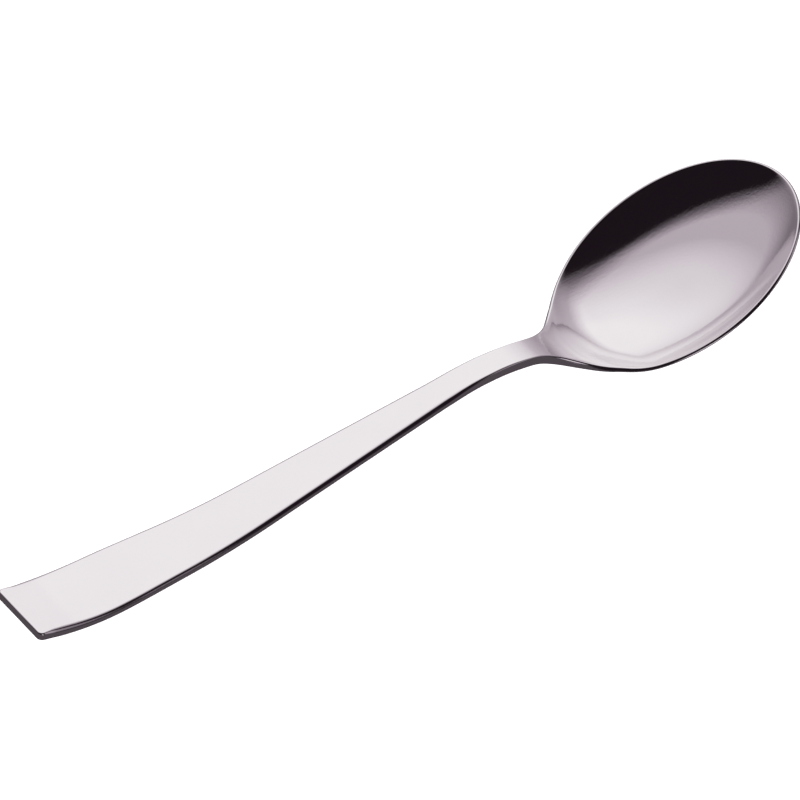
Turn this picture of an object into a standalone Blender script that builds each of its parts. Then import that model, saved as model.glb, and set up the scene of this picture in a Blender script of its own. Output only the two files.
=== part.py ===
"""A dessert spoon, pressed from one piece of stainless steel and lying on a table.

Metres, +Z up. +X runs from the handle's end to the bowl's tip, and the spoon is symmetric in Y.
It is made as the press makes it: a flat blank with a plan outline, rolled to a gauge that changes
along its length, then bent to a side profile and sunk into a bowl. While the spoon is shaped,
x is measured from the handle's end.
"""

import math

import bmesh
import bpy

# Plan outline, seen from above
LENGTH = 0.1849
BOWL_LENGTH = 0.0527
BOWL_WIDTH = 0.0405
END_WIDTH = 0.0146
END_CORNER_RADIUS = 0.0011
WIDEST_WIDTH = 0.0164
WIDEST_FROM_END = 0.0147
WIDEST_BLEND = 0.0108
NECK_WIDTH = 0.00575
NECK_LENGTH = 0.0163
NECK_BLEND = 0.0083
FLARE_ANGLE = math.radians(41.6)
FLARE_BLEND = 0.0057

# Side profile of the top face: heights over the table, and where each bend lies
END_HEIGHT = 0.0048
FOOT_START = 0.0135
FOOT_START_BLEND = 0.0060
FOOT_END = 0.0450
FOOT_END_BLEND = 0.0100
CREST_HEIGHT = 0.0108
CREST_TO_BOWL_CENTRE = 0.0469
CREST_BLEND = 0.0085
SHOULDER_HEIGHT = 0.0086
SHOULDER_TO_BOWL_CENTRE = 0.0357
SHOULDER_BLEND = 0.0024
DIP_HEIGHT = 0.0030
DIP_TO_BOWL_CENTRE = 0.0227
DIP_BLEND = 0.0072
TIP_HEIGHT = 0.0233

# Bowl: its depth below the rim, how steeply its wall leaves the rim at the sides and at the tip,
# how far its deepest place lies towards the tip, and how softly it meets the rim and, at the
# heel, the neck. TIP_WALL_START is a share of the way from the bowl's middle to its rim, and
# HEEL_START the cosine of the angle, seen from that middle, at which the heel begins.
BOWL_DEPTH = 0.00763
BOWL_STEEPNESS = 2.87
TIP_STEEPNESS = 2.57
TIP_WALL_START = 0.45
DEEPEST_SHIFT = 0.175
RIM_SOFTNESS = 0.01
HEEL_SOFTNESS = 0.234
HEEL_START = 0.793

# Gauge of the rolled blank, which is thinned from below over the last millimetres to its end
END_GAUGE = 0.0017
END_TAPER_LENGTH = 0.0050
END_TAPER_BLEND = 0.0024
BACK_GAUGE = 0.0025
HANDLE_GAUGE = 0.0021
NECK_GAUGE = 0.0024
BOWL_GAUGE = 0.0009
HANDLE_GAUGE_END = 0.0720
GAUGE_BLEND = 0.0090
BOWL_GAUGE_BLEND = 0.0045
EDGE_RADIUS = 0.00045
EDGE_SEGMENTS = 2
LARGEST_EDGE_SHARE = 0.4
SHARP_EDGE_ANGLE = math.radians(60)

# Mesh density: steps along each stretch of the half outline, and from the rim to the centre line,
# with the rows crowded towards the rim
END_STEPS = 3
CORNER_STEPS = 4
HANDLE_STEPS = 32
FLARE_STEPS = 12
BOWL_STEPS = 25
ACROSS_STEPS = 8
ROW_CROWDING = 1.4
END_REACH = 0.0040
MERGE_DISTANCE = 0.00001
TINY = 1e-6

STEEL_COLOUR = (0.62, 0.60, 0.61, 1.0)
STEEL_ROUGHNESS = 0.18

# Places that follow from the sizes above
BOWL_HALF_LENGTH = BOWL_LENGTH / 2
BOWL_HALF_WIDTH = BOWL_WIDTH / 2
BOWL_CENTRE = LENGTH - BOWL_HALF_LENGTH
FLARE_SLOPE = math.tan(FLARE_ANGLE)
FLARE_SPAN = math.hypot(BOWL_HALF_WIDTH, BOWL_HALF_LENGTH * FLARE_SLOPE)
FLARE_MEETS_BOWL_X = BOWL_CENTRE - BOWL_HALF_LENGTH ** 2 * FLARE_SLOPE / FLARE_SPAN
FLARE_MEETS_BOWL_Y = BOWL_HALF_WIDTH ** 2 / FLARE_SPAN
FLARE_CORNER_X = FLARE_MEETS_BOWL_X - (FLARE_MEETS_BOWL_Y - NECK_WIDTH / 2) / FLARE_SLOPE
NECK_START_X = FLARE_CORNER_X - NECK_LENGTH
CREST_X = BOWL_CENTRE - CREST_TO_BOWL_CENTRE
SHOULDER_X = BOWL_CENTRE - SHOULDER_TO_BOWL_CENTRE
DIP_X = BOWL_CENTRE - DIP_TO_BOWL_CENTRE

# Bends as (x, value, half length of the rounding), read by bent_line
HALF_WIDTH_BENDS = (
    (0.0, END_WIDTH / 2, 0.0),
    (WIDEST_FROM_END, WIDEST_WIDTH / 2, WIDEST_BLEND),
    (NECK_START_X, NECK_WIDTH / 2, NECK_BLEND),
    (FLARE_CORNER_X, NECK_WIDTH / 2, FLARE_BLEND),
    (FLARE_MEETS_BOWL_X, FLARE_MEETS_BOWL_Y, 0.0),
)
HEIGHT_BENDS = (
    (0.0, END_HEIGHT, 0.0),
    (FOOT_START, HANDLE_GAUGE, FOOT_START_BLEND),
    (FOOT_END, HANDLE_GAUGE, FOOT_END_BLEND),
    (CREST_X, CREST_HEIGHT, CREST_BLEND),
    (SHOULDER_X, SHOULDER_HEIGHT, SHOULDER_BLEND),
    (DIP_X, DIP_HEIGHT, DIP_BLEND),
    (LENGTH, TIP_HEIGHT, 0.0),
)
GAUGE_BENDS = (
    (0.0, END_GAUGE, 0.0),
    (END_TAPER_LENGTH, BACK_GAUGE, END_TAPER_BLEND),
    (FOOT_START, HANDLE_GAUGE, FOOT_START_BLEND),
    (HANDLE_GAUGE_END, HANDLE_GAUGE, GAUGE_BLEND),
    (SHOULDER_X, NECK_GAUGE, GAUGE_BLEND),
    (FLARE_MEETS_BOWL_X, BOWL_GAUGE, BOWL_GAUGE_BLEND),
    (LENGTH, BOWL_GAUGE, 0.0),
)


def bent_line(bends, x):
    """Value at x of straight runs between the bends, each bend rounded by a parabola."""
    slopes = [(b[1] - a[1]) / (b[0] - a[0]) for a, b in zip(bends, bends[1:])]
    for index in range(1, len(bends) - 1):
        bend_x, bend_value, blend = bends[index]
        if abs(x - bend_x) < blend:
            turn = slopes[index] - slopes[index - 1]
            before = bend_value + slopes[index - 1] * (x - bend_x)
            return before + turn * (x - bend_x + blend) ** 2 / (4 * blend)
    run = sum(x > bend[0] for bend in bends[1:-1])
    return bends[run][1] + slopes[run] * (x - bends[run][0])


def smooth_step(value):
    """Rise from 0 to 1 with level ends."""
    value = min(max(value, 0.0), 1.0)
    return value * value * (3 - 2 * value)


def half_outline():
    """Plan points (x, y) from the middle of the handle's end, along one edge, to the bowl's tip."""
    radius = END_CORNER_RADIUS
    corner_y = bent_line(HALF_WIDTH_BENDS, radius) - radius
    points = [(0.0, corner_y * step / END_STEPS) for step in range(END_STEPS)]
    for step in range(CORNER_STEPS):
        angle = math.pi / 2 * step / CORNER_STEPS
        points.append((radius * (1 - math.cos(angle)), corner_y + radius * math.sin(angle)))
    flare_start = FLARE_CORNER_X - FLARE_BLEND
    for step in range(HANDLE_STEPS):
        x = radius + (flare_start - radius) * step / HANDLE_STEPS
        points.append((x, bent_line(HALF_WIDTH_BENDS, x)))
    for step in range(FLARE_STEPS):
        x = flare_start + (FLARE_MEETS_BOWL_X - flare_start) * step / FLARE_STEPS
        points.append((x, bent_line(HALF_WIDTH_BENDS, x)))
    start_angle = math.acos((FLARE_MEETS_BOWL_X - BOWL_CENTRE) / BOWL_HALF_LENGTH)
    for step in range(BOWL_STEPS + 1):
        angle = start_angle * (1 - step / BOWL_STEPS)
        x = BOWL_CENTRE + BOWL_HALF_LENGTH * math.cos(angle)
        points.append((x, BOWL_HALF_WIDTH * math.sin(angle)))
    return points


def centre_line_partner(x, y):
    """The x on the centre line that an outline point's row of vertices runs to.

    Along the handle it lies straight across, in the bowl it is where the ellipse's normal
    crosses the centre line, and by the handle's end it stays clear of the end face.
    """
    normal_share = 1 - (BOWL_HALF_WIDTH / BOWL_HALF_LENGTH) ** 2
    across_bowl = BOWL_CENTRE + normal_share * (x - BOWL_CENTRE)
    bowl_share = smooth_step((x - NECK_START_X) / (FLARE_MEETS_BOWL_X - NECK_START_X))
    inset = END_REACH * (1 + y / END_WIDTH)
    return math.hypot(x, inset) + bowl_share * (across_bowl - x)


def bowl_sink(x, y):
    """How far the bowl's inside lies below the rim's level at (x, y)."""
    along = (x - BOWL_CENTRE) / BOWL_HALF_LENGTH
    across = y / BOWL_HALF_WIDTH
    reach = math.hypot(along, across)
    shifted = along - DEEPEST_SHIFT * max(1 - reach ** 2, 0.0)
    tip_share = max(along / max(reach, TINY), 0.0) ** 2 * smooth_step(reach / TIP_WALL_START)
    steepness = BOWL_STEEPNESS + (TIP_STEEPNESS - BOWL_STEEPNESS) * tip_share
    inside = 1 - math.hypot(shifted, across) ** steepness
    heel_share = smooth_step((-along / max(reach, TINY) - HEEL_START) / (1 - HEEL_START))
    softness = RIM_SOFTNESS + (HEEL_SOFTNESS - RIM_SOFTNESS) * heel_share
    # A hyperbola rounds the crease where the bowl leaves the rim
    softened = (inside + math.hypot(inside, softness)) / 2
    deepest = (1 + math.hypot(1, softness)) / 2
    return BOWL_DEPTH * softened / deepest


def pressed_sheet():
    """The top face of one half of the spoon, as an open grid of faces."""
    outline = half_outline()
    along_steps = len(outline) - 1
    sheet = bmesh.new()
    bmesh.ops.create_grid(sheet, x_segments=along_steps, y_segments=ACROSS_STEPS, size=1.0)
    for vertex in sheet.verts:
        along = round((vertex.co.x + 1) / 2 * along_steps)
        row = round((1 - vertex.co.y) / 2 * ACROSS_STEPS)
        edge_x, edge_y = outline[along]
        partner_x = centre_line_partner(edge_x, edge_y)
        share = (row / ACROSS_STEPS) ** ROW_CROWDING
        x = edge_x + share * (partner_x - edge_x)
        y = edge_y * (1 - share)
        vertex.co = (x, y, bent_line(HEIGHT_BENDS, x) - bowl_sink(x, y))
    return sheet


def steel():
    """Polished stainless steel."""
    material = bpy.data.materials.new("stainless_steel")
    material.use_nodes = True
    shader = material.node_tree.nodes["Principled BSDF"]
    shader.inputs["Base Color"].default_value = STEEL_COLOUR
    shader.inputs["Metallic"].default_value = 1.0
    shader.inputs["Roughness"].default_value = STEEL_ROUGHNESS
    return material


def add_gauge(spoon):
    """Thicken the sheet downwards by the gauge, stored per vertex as a share of the thickest."""
    group = spoon.vertex_groups.new(name="gauge")
    thickest = max(END_GAUGE, BACK_GAUGE, HANDLE_GAUGE, NECK_GAUGE, BOWL_GAUGE)
    for vertex in spoon.data.vertices:
        group.add([vertex.index], bent_line(GAUGE_BENDS, vertex.co.x) / thickest, "REPLACE")
    thicken = spoon.modifiers.new("Gauge", "SOLIDIFY")
    thicken.thickness = thickest
    thicken.offset = -1.0
    thicken.vertex_group = group.name
    thicken.use_even_offset = True


def add_rounded_edges(spoon):
    """Round the cut edges all the way round, within what the thin rim allows."""
    rounding = spoon.modifiers.new("RoundedEdges", "BEVEL")
    thinnest = min(END_GAUGE, BACK_GAUGE, HANDLE_GAUGE, NECK_GAUGE, BOWL_GAUGE)
    rounding.width = min(EDGE_RADIUS, LARGEST_EDGE_SHARE * thinnest)
    rounding.segments = EDGE_SEGMENTS
    rounding.limit_method = "ANGLE"
    rounding.angle_limit = SHARP_EDGE_ANGLE


def seat_on_table(spoon):
    """Put the middle of the spoon's length over the origin and its lowest point at z = 0."""
    bpy.context.view_layer.update()
    shaped = spoon.evaluated_get(bpy.context.evaluated_depsgraph_get())
    along = [vertex.co.x for vertex in shaped.data.vertices]
    lowest = min(vertex.co.z for vertex in shaped.data.vertices)
    spoon.location = (-(min(along) + max(along)) / 2, 0.0, -lowest)


def make_spoon(collection):
    """The whole spoon: one body with no joints."""
    mesh = bpy.data.meshes.new("dessert_spoon")
    sheet = pressed_sheet()
    sheet.to_mesh(mesh)
    sheet.free()
    mesh.materials.append(steel())
    mesh.shade_smooth()
    spoon = bpy.data.objects.new("dessert_spoon", mesh)
    collection.objects.link(spoon)
    mirror = spoon.modifiers.new("OtherHalf", "MIRROR")
    mirror.use_axis = (False, True, False)
    mirror.merge_threshold = MERGE_DISTANCE
    add_gauge(spoon)
    add_rounded_edges(spoon)
    seat_on_table(spoon)


for leftover in list(bpy.data.objects):
    bpy.data.objects.remove(leftover)
spoon_collection = bpy.data.collections.new("dessert_spoon")
bpy.context.scene.collection.children.link(spoon_collection)
make_spoon(spoon_collection)
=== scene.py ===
"""Looks of a polished stainless-steel dessert spoon lying on a pale table under studio light.

Metres, +Z up. +X runs from the handle's end to the bowl's tip. While the spoon is shaped, x is
measured from the handle's end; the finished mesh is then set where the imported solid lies.
"""

import math

import bmesh
import bpy
from mathutils import Matrix, Vector


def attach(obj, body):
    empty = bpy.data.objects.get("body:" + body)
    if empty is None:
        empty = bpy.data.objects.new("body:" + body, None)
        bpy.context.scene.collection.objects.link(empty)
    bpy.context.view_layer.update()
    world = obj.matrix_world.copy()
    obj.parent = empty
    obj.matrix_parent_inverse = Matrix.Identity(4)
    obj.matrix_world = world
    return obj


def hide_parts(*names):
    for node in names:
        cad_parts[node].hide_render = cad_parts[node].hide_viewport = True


# Plan outline, seen from above
LENGTH = 0.1849
BOWL_LENGTH = 0.0527
BOWL_WIDTH = 0.0405
END_WIDTH = 0.0146
END_CORNER_RADIUS = 0.0011
WIDEST_WIDTH = 0.0164
WIDEST_FROM_END = 0.0147
WIDEST_BLEND = 0.0108
NECK_WIDTH = 0.00575
NECK_LENGTH = 0.0163
NECK_BLEND = 0.0083
FLARE_ANGLE = math.radians(41.6)
FLARE_BLEND = 0.0057

# Side profile of the top face: heights over the table, and where each bend lies
END_HEIGHT = 0.0048
FOOT_START = 0.0135
FOOT_START_BLEND = 0.0060
FOOT_END = 0.0450
FOOT_END_BLEND = 0.0100
CREST_HEIGHT = 0.0108
CREST_TO_BOWL_CENTRE = 0.0469
CREST_BLEND = 0.0085
SHOULDER_HEIGHT = 0.0086
SHOULDER_TO_BOWL_CENTRE = 0.0357
SHOULDER_BLEND = 0.0024
DIP_HEIGHT = 0.0030
DIP_TO_BOWL_CENTRE = 0.0227
DIP_BLEND = 0.0072
TIP_HEIGHT = 0.0233

# Bowl: its depth below the rim, how steeply its wall leaves the rim at the sides and at the tip,
# how far its deepest place lies towards the tip, and how softly it meets the rim and, at the
# heel, the neck. TIP_WALL_START is a share of the way from the bowl's middle to its rim, and
# HEEL_START the cosine of the angle, seen from that middle, at which the heel begins.
BOWL_DEPTH = 0.00763
BOWL_STEEPNESS = 2.87
TIP_STEEPNESS = 2.57
TIP_WALL_START = 0.45
DEEPEST_SHIFT = 0.175
RIM_SOFTNESS = 0.01
HEEL_SOFTNESS = 0.234
HEEL_START = 0.793

# Gauge of the rolled blank, which is thinned from below over the last millimetres to its end
END_GAUGE = 0.0017
END_TAPER_LENGTH = 0.0050
END_TAPER_BLEND = 0.0024
BACK_GAUGE = 0.0025
HANDLE_GAUGE = 0.0021
NECK_GAUGE = 0.0024
BOWL_GAUGE = 0.0009
HANDLE_GAUGE_END = 0.0720
GAUGE_BLEND = 0.0090
BOWL_GAUGE_BLEND = 0.0045

# Rounding of the edges, as a share of the gauge: the handle is almost fully round, the rim less so,
# and the end and the neck's flanks are flatter. The fades are lengths over which it changes.
END_EDGE_SHARE = 0.20
ROUND_EDGE_SHARE = 0.48
NECK_EDGE_SHARE = 0.22
RIM_EDGE_SHARE = 0.34
END_EDGE_FADE = 0.0030
NECK_EDGE_FADE = 0.0120

# Mesh density: steps along each stretch of the half outline, and from the rim to the centre line
END_STEPS = 12
CORNER_STEPS = 8
HANDLE_STEPS = 180
FLARE_STEPS = 48
BOWL_STEPS = 110
ACROSS_STEPS = 40
EDGE_STEPS = 9
END_REACH = 0.0040
SLOPE_STEP = 0.00005
MERGE_DISTANCE = 0.00001
TINY = 1e-6

# Steel: tints of its cloudy polish, cells of noise to the metre, gloss, and depth of its fine relief
STEEL_TINTS = ((0.35, (0.912, 0.893, 0.904)), (0.65, (0.897, 0.878, 0.891)))
CLOUD_CELLS = 70.0
LINE_CELLS = 2200.0
LINE_STRETCH = (0.03, 1.0, 1.0)
GRAIN_CELLS = 1500.0
DULLNESS_RANGE = (0.75, 1.25)
ROUGHNESS_RANGE = (0.05, 0.10)
RELIEF_DEPTH = 0.000006

# Camera: where it looks, from which angle, and how large the spoon is in its frame
IMAGE_SIZE = 800
VIEW_TARGET = Vector((0.09233, 0.00312, 0.0080))
VIEW_AZIMUTH = math.radians(-38.84)
VIEW_ELEVATION = math.radians(43.63)
VIEW_ROLL = math.radians(3.05)
VIEW_DISTANCE = 1.202
PIXELS_PER_METRE = 5097.0
SENSOR_WIDTH = 36.0
NEAREST_SEEN = 0.01

# Light: three overlapping soft lights behind and above the spoon, and low ones around it. Each has
# an azimuth, an elevation, the cosines of the angles at which it starts and is full, and a strength.
KEY_LIGHT = (math.radians(51.5), math.radians(42), 0.62, 0.965, 0.394)
SIDE_LIGHT = (math.radians(89), math.radians(54.5), 0.58, 0.775, 0.261)
WIDE_LIGHT = (math.radians(67), math.radians(36), 0.31, 0.455, 0.159)
LOW_LIGHT = (math.radians(-99), math.radians(4), 0.93, 0.985, 0.60)
RIGHT_LIGHT = (math.radians(-38), math.radians(11), 0.90, 0.985, 0.36)
LIGHTS = (KEY_LIGHT, SIDE_LIGHT, WIDE_LIGHT, LOW_LIGHT, RIGHT_LIGHT)
LIGHT_COLOURS = (
    (0.0, (0.011, 0.007, 0.010)),
    (0.36, (0.424, 0.369, 0.414)),
    (0.55, (0.640, 0.590, 0.630)),
    (0.85, (0.950, 0.938, 0.941)),
)
GROUND_BRIGHTNESS = 0.060
GROUND_EDGE = (-0.05, -0.16)
FLOOR_COLOUR = (0.9, 0.9, 0.9)
BACKDROP_COLOUR = (0.98, 0.98, 0.98)
FLOOR_LAMP_STRENGTH = 3.45
FLOOR_LAMP_SPREAD = math.radians(120)
STAGE_SIZE = 3.0

# Places that follow from the sizes above
BOWL_HALF_LENGTH = BOWL_LENGTH / 2
BOWL_HALF_WIDTH = BOWL_WIDTH / 2
BOWL_CENTRE = LENGTH - BOWL_HALF_LENGTH
FLARE_SLOPE = math.tan(FLARE_ANGLE)
FLARE_SPAN = math.hypot(BOWL_HALF_WIDTH, BOWL_HALF_LENGTH * FLARE_SLOPE)
FLARE_MEETS_BOWL_X = BOWL_CENTRE - BOWL_HALF_LENGTH ** 2 * FLARE_SLOPE / FLARE_SPAN
FLARE_MEETS_BOWL_Y = BOWL_HALF_WIDTH ** 2 / FLARE_SPAN
FLARE_CORNER_X = FLARE_MEETS_BOWL_X - (FLARE_MEETS_BOWL_Y - NECK_WIDTH / 2) / FLARE_SLOPE
NECK_START_X = FLARE_CORNER_X - NECK_LENGTH
CREST_X = BOWL_CENTRE - CREST_TO_BOWL_CENTRE
SHOULDER_X = BOWL_CENTRE - SHOULDER_TO_BOWL_CENTRE
DIP_X = BOWL_CENTRE - DIP_TO_BOWL_CENTRE

# Bends as (x, value, half length of the rounding), read by bent_line
HALF_WIDTH_BENDS = (
    (0.0, END_WIDTH / 2, 0.0),
    (WIDEST_FROM_END, WIDEST_WIDTH / 2, WIDEST_BLEND),
    (NECK_START_X, NECK_WIDTH / 2, NECK_BLEND),
    (FLARE_CORNER_X, NECK_WIDTH / 2, FLARE_BLEND),
    (FLARE_MEETS_BOWL_X, FLARE_MEETS_BOWL_Y, 0.0),
)
HEIGHT_BENDS = (
    (0.0, END_HEIGHT, 0.0),
    (FOOT_START, HANDLE_GAUGE, FOOT_START_BLEND),
    (FOOT_END, HANDLE_GAUGE, FOOT_END_BLEND),
    (CREST_X, CREST_HEIGHT, CREST_BLEND),
    (SHOULDER_X, SHOULDER_HEIGHT, SHOULDER_BLEND),
    (DIP_X, DIP_HEIGHT, DIP_BLEND),
    (LENGTH, TIP_HEIGHT, 0.0),
)
GAUGE_BENDS = (
    (0.0, END_GAUGE, 0.0),
    (END_TAPER_LENGTH, BACK_GAUGE, END_TAPER_BLEND),
    (FOOT_START, HANDLE_GAUGE, FOOT_START_BLEND),
    (HANDLE_GAUGE_END, HANDLE_GAUGE, GAUGE_BLEND),
    (SHOULDER_X, NECK_GAUGE, GAUGE_BLEND),
    (FLARE_MEETS_BOWL_X, BOWL_GAUGE, BOWL_GAUGE_BLEND),
    (LENGTH, BOWL_GAUGE, 0.0),
)
EDGE_SHARE_BENDS = (
    (0.0, END_EDGE_SHARE, 0.0),
    (END_EDGE_FADE, ROUND_EDGE_SHARE, 0.0),
    (NECK_START_X - NECK_EDGE_FADE, ROUND_EDGE_SHARE, 0.0),
    (NECK_START_X, NECK_EDGE_SHARE, 0.0),
    (FLARE_CORNER_X, NECK_EDGE_SHARE, 0.0),
    (FLARE_MEETS_BOWL_X, RIM_EDGE_SHARE, 0.0),
    (LENGTH, RIM_EDGE_SHARE, 0.0),
)


def bent_line(bends, x):
    """Value at x of straight runs between the bends, each bend rounded by a parabola."""
    slopes = [(b[1] - a[1]) / (b[0] - a[0]) for a, b in zip(bends, bends[1:])]
    for index in range(1, len(bends) - 1):
        bend_x, bend_value, blend = bends[index]
        if abs(x - bend_x) < blend:
            turn = slopes[index] - slopes[index - 1]
            before = bend_value + slopes[index - 1] * (x - bend_x)
            return before + turn * (x - bend_x + blend) ** 2 / (4 * blend)
    run = sum(x > bend[0] for bend in bends[1:-1])
    return bends[run][1] + slopes[run] * (x - bends[run][0])


def smooth_step(value):
    """Rise from 0 to 1 with level ends."""
    value = min(max(value, 0.0), 1.0)
    return value * value * (3 - 2 * value)


def half_outline():
    """Plan points (x, y) from the middle of the handle's end, along one edge, to the bowl's tip."""
    radius = END_CORNER_RADIUS
    corner_y = bent_line(HALF_WIDTH_BENDS, radius) - radius
    points = [(0.0, corner_y * step / END_STEPS) for step in range(END_STEPS)]
    for step in range(CORNER_STEPS):
        angle = math.pi / 2 * step / CORNER_STEPS
        points.append((radius * (1 - math.cos(angle)), corner_y + radius * math.sin(angle)))
    flare_start = FLARE_CORNER_X - FLARE_BLEND
    for step in range(HANDLE_STEPS):
        x = radius + (flare_start - radius) * step / HANDLE_STEPS
        points.append((x, bent_line(HALF_WIDTH_BENDS, x)))
    for step in range(FLARE_STEPS):
        x = flare_start + (FLARE_MEETS_BOWL_X - flare_start) * step / FLARE_STEPS
        points.append((x, bent_line(HALF_WIDTH_BENDS, x)))
    start_angle = math.acos((FLARE_MEETS_BOWL_X - BOWL_CENTRE) / BOWL_HALF_LENGTH)
    for step in range(BOWL_STEPS + 1):
        angle = start_angle * (1 - step / BOWL_STEPS)
        x = BOWL_CENTRE + BOWL_HALF_LENGTH * math.cos(angle)
        points.append((x, BOWL_HALF_WIDTH * math.sin(angle)))
    return points


def centre_line_partner(x, y):
    """The x on the centre line that an outline point's row of vertices runs to.

    Along the handle it lies straight across, in the bowl it is where the ellipse's normal
    crosses the centre line, and by the handle's end it stays clear of the end face.
    """
    normal_share = 1 - (BOWL_HALF_WIDTH / BOWL_HALF_LENGTH) ** 2
    across_bowl = BOWL_CENTRE + normal_share * (x - BOWL_CENTRE)
    bowl_share = smooth_step((x - NECK_START_X) / (FLARE_MEETS_BOWL_X - NECK_START_X))
    inset = END_REACH * (1 + y / END_WIDTH)
    return math.hypot(x, inset) + bowl_share * (across_bowl - x)


def bowl_sink(x, y):
    """How far the bowl's inside lies below the rim's level at (x, y)."""
    along = (x - BOWL_CENTRE) / BOWL_HALF_LENGTH
    across = y / BOWL_HALF_WIDTH
    reach = math.hypot(along, across)
    shifted = along - DEEPEST_SHIFT * max(1 - reach ** 2, 0.0)
    tip_share = max(along / max(reach, TINY), 0.0) ** 2 * smooth_step(reach / TIP_WALL_START)
    steepness = BOWL_STEEPNESS + (TIP_STEEPNESS - BOWL_STEEPNESS) * tip_share
    inside = 1 - math.hypot(shifted, across) ** steepness
    heel_share = smooth_step((-along / max(reach, TINY) - HEEL_START) / (1 - HEEL_START))
    softness = RIM_SOFTNESS + (HEEL_SOFTNESS - RIM_SOFTNESS) * heel_share
    # A hyperbola rounds the crease where the bowl leaves the rim
    softened = (inside + math.hypot(inside, softness)) / 2
    deepest = (1 + math.hypot(1, softness)) / 2
    return BOWL_DEPTH * softened / deepest


def top_height(x, y):
    """Height of the top face."""
    return bent_line(HEIGHT_BENDS, x) - bowl_sink(x, y)


def top_normal(x, y):
    """Unit normal of the top face."""
    rise_x = top_height(x + SLOPE_STEP, y) - top_height(x - SLOPE_STEP, y)
    rise_y = top_height(x, y + SLOPE_STEP) - top_height(x, y - SLOPE_STEP)
    return Vector((-rise_x, -rise_y, 2 * SLOPE_STEP)).normalized()


def outward_tangent(normal, outward):
    """Unit vector that lies in the face with this normal and points outwards in plan."""
    rise = -(normal.x * outward.x + normal.y * outward.y) / normal.z
    return Vector((outward.x, outward.y, rise)).normalized()


def cross_section(edge_x, edge_y):
    """Points from the centre line over the top face, round the edge and back underneath."""
    partner_x = centre_line_partner(edge_x, edge_y)
    length = math.hypot(edge_x - partner_x, edge_y)
    outward = Vector((edge_x - partner_x, edge_y)) / length
    radius = bent_line(EDGE_SHARE_BENDS, edge_x) * bent_line(GAUGE_BENDS, edge_x)
    rim_tangent = outward_tangent(top_normal(edge_x, edge_y), outward)
    top_reach = length - radius * rim_tangent.xy.length
    tops = []
    for row in range(ACROSS_STEPS + 1):
        x = partner_x + outward.x * top_reach * row / ACROSS_STEPS
        y = outward.y * top_reach * row / ACROSS_STEPS
        tops.append((Vector((x, y, top_height(x, y))), top_normal(x, y)))
    points = [point for point, normal in tops]
    corner, normal = tops[-1]
    tangent = outward_tangent(normal, outward)
    gauge = bent_line(GAUGE_BENDS, corner.x)
    for step in range(1, EDGE_STEPS + 1):
        angle = math.pi / 2 * step / EDGE_STEPS
        points.append(corner + radius * (tangent * math.sin(angle) - normal * (1 - math.cos(angle))))
    for step in range(EDGE_STEPS):
        angle = math.pi / 2 * step / EDGE_STEPS
        drop = gauge - radius + radius * math.sin(angle)
        points.append(corner + tangent * radius * math.cos(angle) - normal * drop)
    for point, normal in reversed(tops):
        points.append(point - normal * bent_line(GAUGE_BENDS, point.x))
    return points


def half_spoon():
    """The skin of one half of the spoon, open along the centre line."""
    sections = [cross_section(x, y) for x, y in half_outline()]
    along_steps = len(sections) - 1
    around_steps = len(sections[0]) - 1
    skin = bmesh.new()
    bmesh.ops.create_grid(skin, x_segments=along_steps, y_segments=around_steps, size=1.0)
    for vertex in skin.verts:
        along = round((vertex.co.x + 1) / 2 * along_steps)
        around = round((vertex.co.y + 1) / 2 * around_steps)
        vertex.co = sections[along][around]
    return skin


def map_range(tree, value, from_range, to_range):
    """A value carried from one range to another and held at its ends."""
    node = tree.nodes.new("ShaderNodeMapRange")
    node.inputs["From Min"].default_value, node.inputs["From Max"].default_value = from_range
    node.inputs["To Min"].default_value, node.inputs["To Max"].default_value = to_range
    tree.links.new(value, node.inputs["Value"])
    return node.outputs["Result"]


def soft_light(tree, direction, light):
    """Brightness of one soft light, seen in a direction."""
    azimuth, elevation, edge, full, strength = light
    nearness = tree.nodes.new("ShaderNodeVectorMath")
    nearness.operation = "DOT_PRODUCT"
    nearness.inputs[1].default_value = (
        math.cos(azimuth) * math.cos(elevation),
        math.sin(azimuth) * math.cos(elevation),
        math.sin(elevation),
    )
    tree.links.new(direction, nearness.inputs[0])
    return map_range(tree, nearness.outputs["Value"], (edge, full), (0.0, strength))


def joined(tree, operation, first, second):
    """Two values added or multiplied."""
    node = tree.nodes.new("ShaderNodeMath")
    node.operation = operation
    tree.links.new(first, node.inputs[0])
    tree.links.new(second, node.inputs[1])
    return node.outputs["Value"]


def colour_ramp(tree, value, stops):
    """Colours read off a ramp of (place, colour) stops."""
    node = tree.nodes.new("ShaderNodeValToRGB")
    elements = node.color_ramp.elements
    while len(elements) < len(stops):
        elements.new(0.5)
    for element, (place, colour) in zip(elements, stops):
        element.position = place
        element.color = (*colour, 1.0)
    tree.links.new(value, node.inputs["Fac"])
    return node.outputs["Color"]


def noise(tree, place, cells, stretch=(1.0, 1.0, 1.0), detail=2.0):
    """Smooth noise with this many cells to the metre, squeezed or drawn out along each axis."""
    squeeze = tree.nodes.new("ShaderNodeMapping")
    squeeze.inputs["Scale"].default_value = stretch
    node = tree.nodes.new("ShaderNodeTexNoise")
    node.inputs["Scale"].default_value = cells
    node.inputs["Detail"].default_value = detail
    tree.links.new(place, squeeze.inputs["Vector"])
    tree.links.new(squeeze.outputs["Vector"], node.inputs["Vector"])
    return node.outputs["Fac"]


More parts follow.
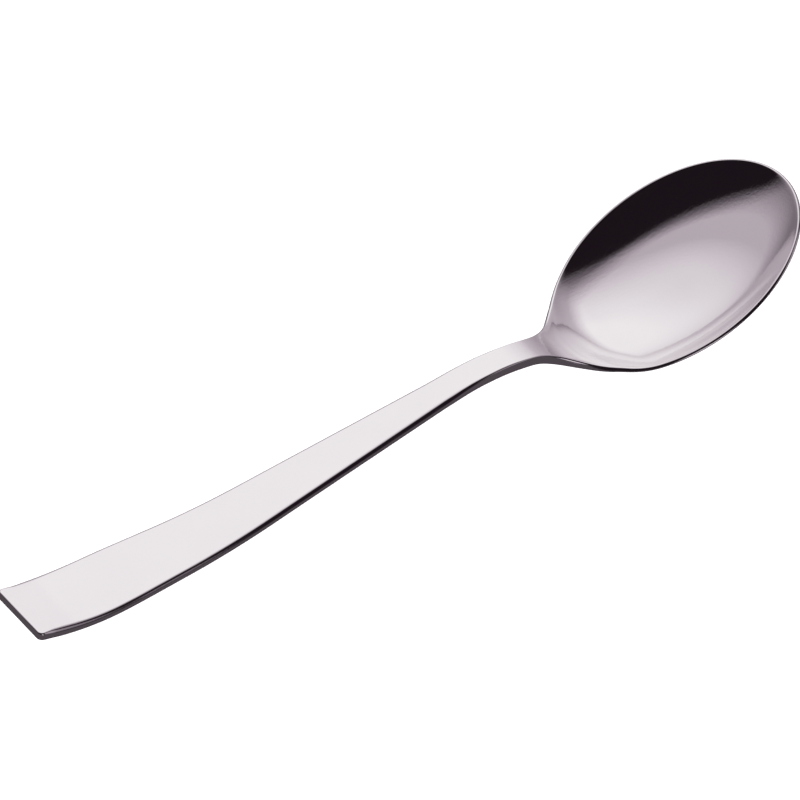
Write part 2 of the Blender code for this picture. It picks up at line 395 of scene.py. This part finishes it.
def polished_steel():
    """Stainless steel: polishing lines along the spoon, a faint satin grain and cloudy gloss."""
    material = bpy.data.materials.new("polished_steel")
    material.use_nodes = True
    tree = material.node_tree
    shader = tree.nodes["Principled BSDF"]
    shader.inputs["Metallic"].default_value = 1.0
    place = tree.nodes.new("ShaderNodeTexCoord").outputs["Object"]
    clouds = noise(tree, place, CLOUD_CELLS)
    lines = noise(tree, place, LINE_CELLS, LINE_STRETCH)
    grain = noise(tree, place, GRAIN_CELLS)
    tree.links.new(colour_ramp(tree, clouds, STEEL_TINTS), shader.inputs["Base Color"])
    dullness = joined(tree, "ADD", clouds, lines)
    roughness = map_range(tree, dullness, DULLNESS_RANGE, ROUGHNESS_RANGE)
    tree.links.new(roughness, shader.inputs["Roughness"])
    relief = tree.nodes.new("ShaderNodeBump")
    relief.inputs["Strength"].default_value = 1.0
    relief.inputs["Distance"].default_value = RELIEF_DEPTH
    tree.links.new(joined(tree, "ADD", lines, grain), relief.inputs["Height"])
    tree.links.new(relief.outputs["Normal"], shader.inputs["Normal"])
    return material


def seat_on_frame(spoon):
    """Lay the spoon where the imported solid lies."""
    bpy.context.view_layer.update()
    shaped = spoon.evaluated_get(bpy.context.evaluated_depsgraph_get())
    along = [vertex.co.x for vertex in shaped.data.vertices]
    lowest = min(vertex.co.z for vertex in shaped.data.vertices)
    spoon.location = (-(min(along) + max(along)) / 2, 0.0, -lowest)


def make_spoon():
    """The whole spoon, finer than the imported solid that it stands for."""
    mesh = bpy.data.meshes.new("polished_spoon")
    skin = half_spoon()
    skin.to_mesh(mesh)
    skin.free()
    mesh.materials.append(polished_steel())
    mesh.shade_smooth()
    spoon = bpy.data.objects.new("polished_spoon", mesh)
    bpy.context.scene.collection.objects.link(spoon)
    mirror = spoon.modifiers.new("OtherHalf", "MIRROR")
    mirror.use_axis = (False, True, False)
    mirror.merge_threshold = MERGE_DISTANCE
    seat_on_frame(spoon)
    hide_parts("dessert_spoon")
    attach(spoon, "root")
    return spoon


def make_camera(spoon):
    """A long lens that sees the spoon from the photograph's angle."""
    sin_az, cos_az = math.sin(VIEW_AZIMUTH), math.cos(VIEW_AZIMUTH)
    sin_el, cos_el = math.sin(VIEW_ELEVATION), math.cos(VIEW_ELEVATION)
    back = Vector((sin_az * cos_el, -cos_az * cos_el, sin_el))
    right = Vector((cos_az, sin_az, 0.0))
    up = back.cross(right)
    axes = Matrix((right, up, back)).transposed() @ Matrix.Rotation(VIEW_ROLL, 3, "Z")
    data = bpy.data.cameras.new("camera")
    data.sensor_width = SENSOR_WIDTH
    data.lens = PIXELS_PER_METRE * VIEW_DISTANCE / IMAGE_SIZE * SENSOR_WIDTH
    data.clip_start = NEAREST_SEEN
    camera = bpy.data.objects.new("camera", data)
    bpy.context.scene.collection.objects.link(camera)
    eye = spoon.location + VIEW_TARGET + back * VIEW_DISTANCE
    camera.matrix_world = Matrix.Translation(eye) @ axes.to_4x4()
    bpy.context.scene.camera = camera


def stage_object(name, shape, colour):
    """A plain matt object of the stage, made from a bmesh."""
    mesh = bpy.data.meshes.new(name)
    shape.to_mesh(mesh)
    shape.free()
    material = bpy.data.materials.new(name)
    material.use_nodes = True
    shader = material.node_tree.nodes["Principled BSDF"]
    shader.inputs["Base Color"].default_value = (*colour, 1.0)
    shader.inputs["Roughness"].default_value = 1.0
    shader.inputs["Specular IOR Level"].default_value = 0.0
    mesh.materials.append(material)
    stage = bpy.data.objects.new(name, mesh)
    bpy.context.scene.collection.objects.link(stage)
    return stage


def make_floor():
    """A pale floor that the eye sees and the steel doesn't, so that it mirrors the studio alone."""
    shape = bmesh.new()
    bmesh.ops.create_grid(shape, x_segments=1, y_segments=1, size=STAGE_SIZE)
    floor = stage_object("floor", shape, FLOOR_COLOUR)
    floor.visible_glossy = False
    floor.visible_diffuse = False


def make_floor_lamp(spoon):
    """An even lamp from above that brings the floor to white and leaves no shadow or mirror image."""
    data = bpy.data.lights.new("floor_lamp", "SUN")
    data.energy = FLOOR_LAMP_STRENGTH
    data.angle = FLOOR_LAMP_SPREAD
    lamp = bpy.data.objects.new("floor_lamp", data)
    bpy.context.scene.collection.objects.link(lamp)
    lamp.visible_glossy = False
    spoon.visible_shadow = False
    spoon.visible_diffuse = False


def make_world():
    """A dark studio: soft lights behind the spoon, low ones around it and a dim ground.

    The eye sees a plain pale backdrop instead of it.
    """
    world = bpy.data.worlds.new("studio")
    world.use_nodes = True
    tree = world.node_tree
    direction = tree.nodes.new("ShaderNodeTexCoord").outputs["Generated"]
    parts = tree.nodes.new("ShaderNodeSeparateXYZ")
    tree.links.new(direction, parts.inputs["Vector"])
    brightness = map_range(tree, parts.outputs["Z"], GROUND_EDGE, (0.0, GROUND_BRIGHTNESS))
    for light in LIGHTS:
        brightness = joined(tree, "ADD", brightness, soft_light(tree, direction, light))
    seen = tree.nodes.new("ShaderNodeMix")
    seen.data_type = "RGBA"
    seen.inputs["B"].default_value = (*BACKDROP_COLOUR, 1.0)
    straight_from_eye = tree.nodes.new("ShaderNodeLightPath").outputs["Is Camera Ray"]
    tree.links.new(straight_from_eye, seen.inputs["Factor"])
    tree.links.new(colour_ramp(tree, brightness, LIGHT_COLOURS), seen.inputs["A"])
    tree.links.new(seen.outputs["Result"], tree.nodes["Background"].inputs["Color"])
    bpy.context.scene.world = world


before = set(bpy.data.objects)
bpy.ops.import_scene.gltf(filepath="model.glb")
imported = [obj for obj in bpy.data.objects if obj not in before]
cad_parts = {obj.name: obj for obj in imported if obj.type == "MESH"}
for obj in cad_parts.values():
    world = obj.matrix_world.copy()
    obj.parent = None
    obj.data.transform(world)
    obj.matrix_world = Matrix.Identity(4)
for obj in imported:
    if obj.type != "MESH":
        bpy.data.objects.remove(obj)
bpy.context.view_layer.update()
dessert_spoon = make_spoon()
make_camera(dessert_spoon)
make_floor()
make_floor_lamp(dessert_spoon)
make_world()
bpy.context.scene.view_settings.view_transform = "Standard"
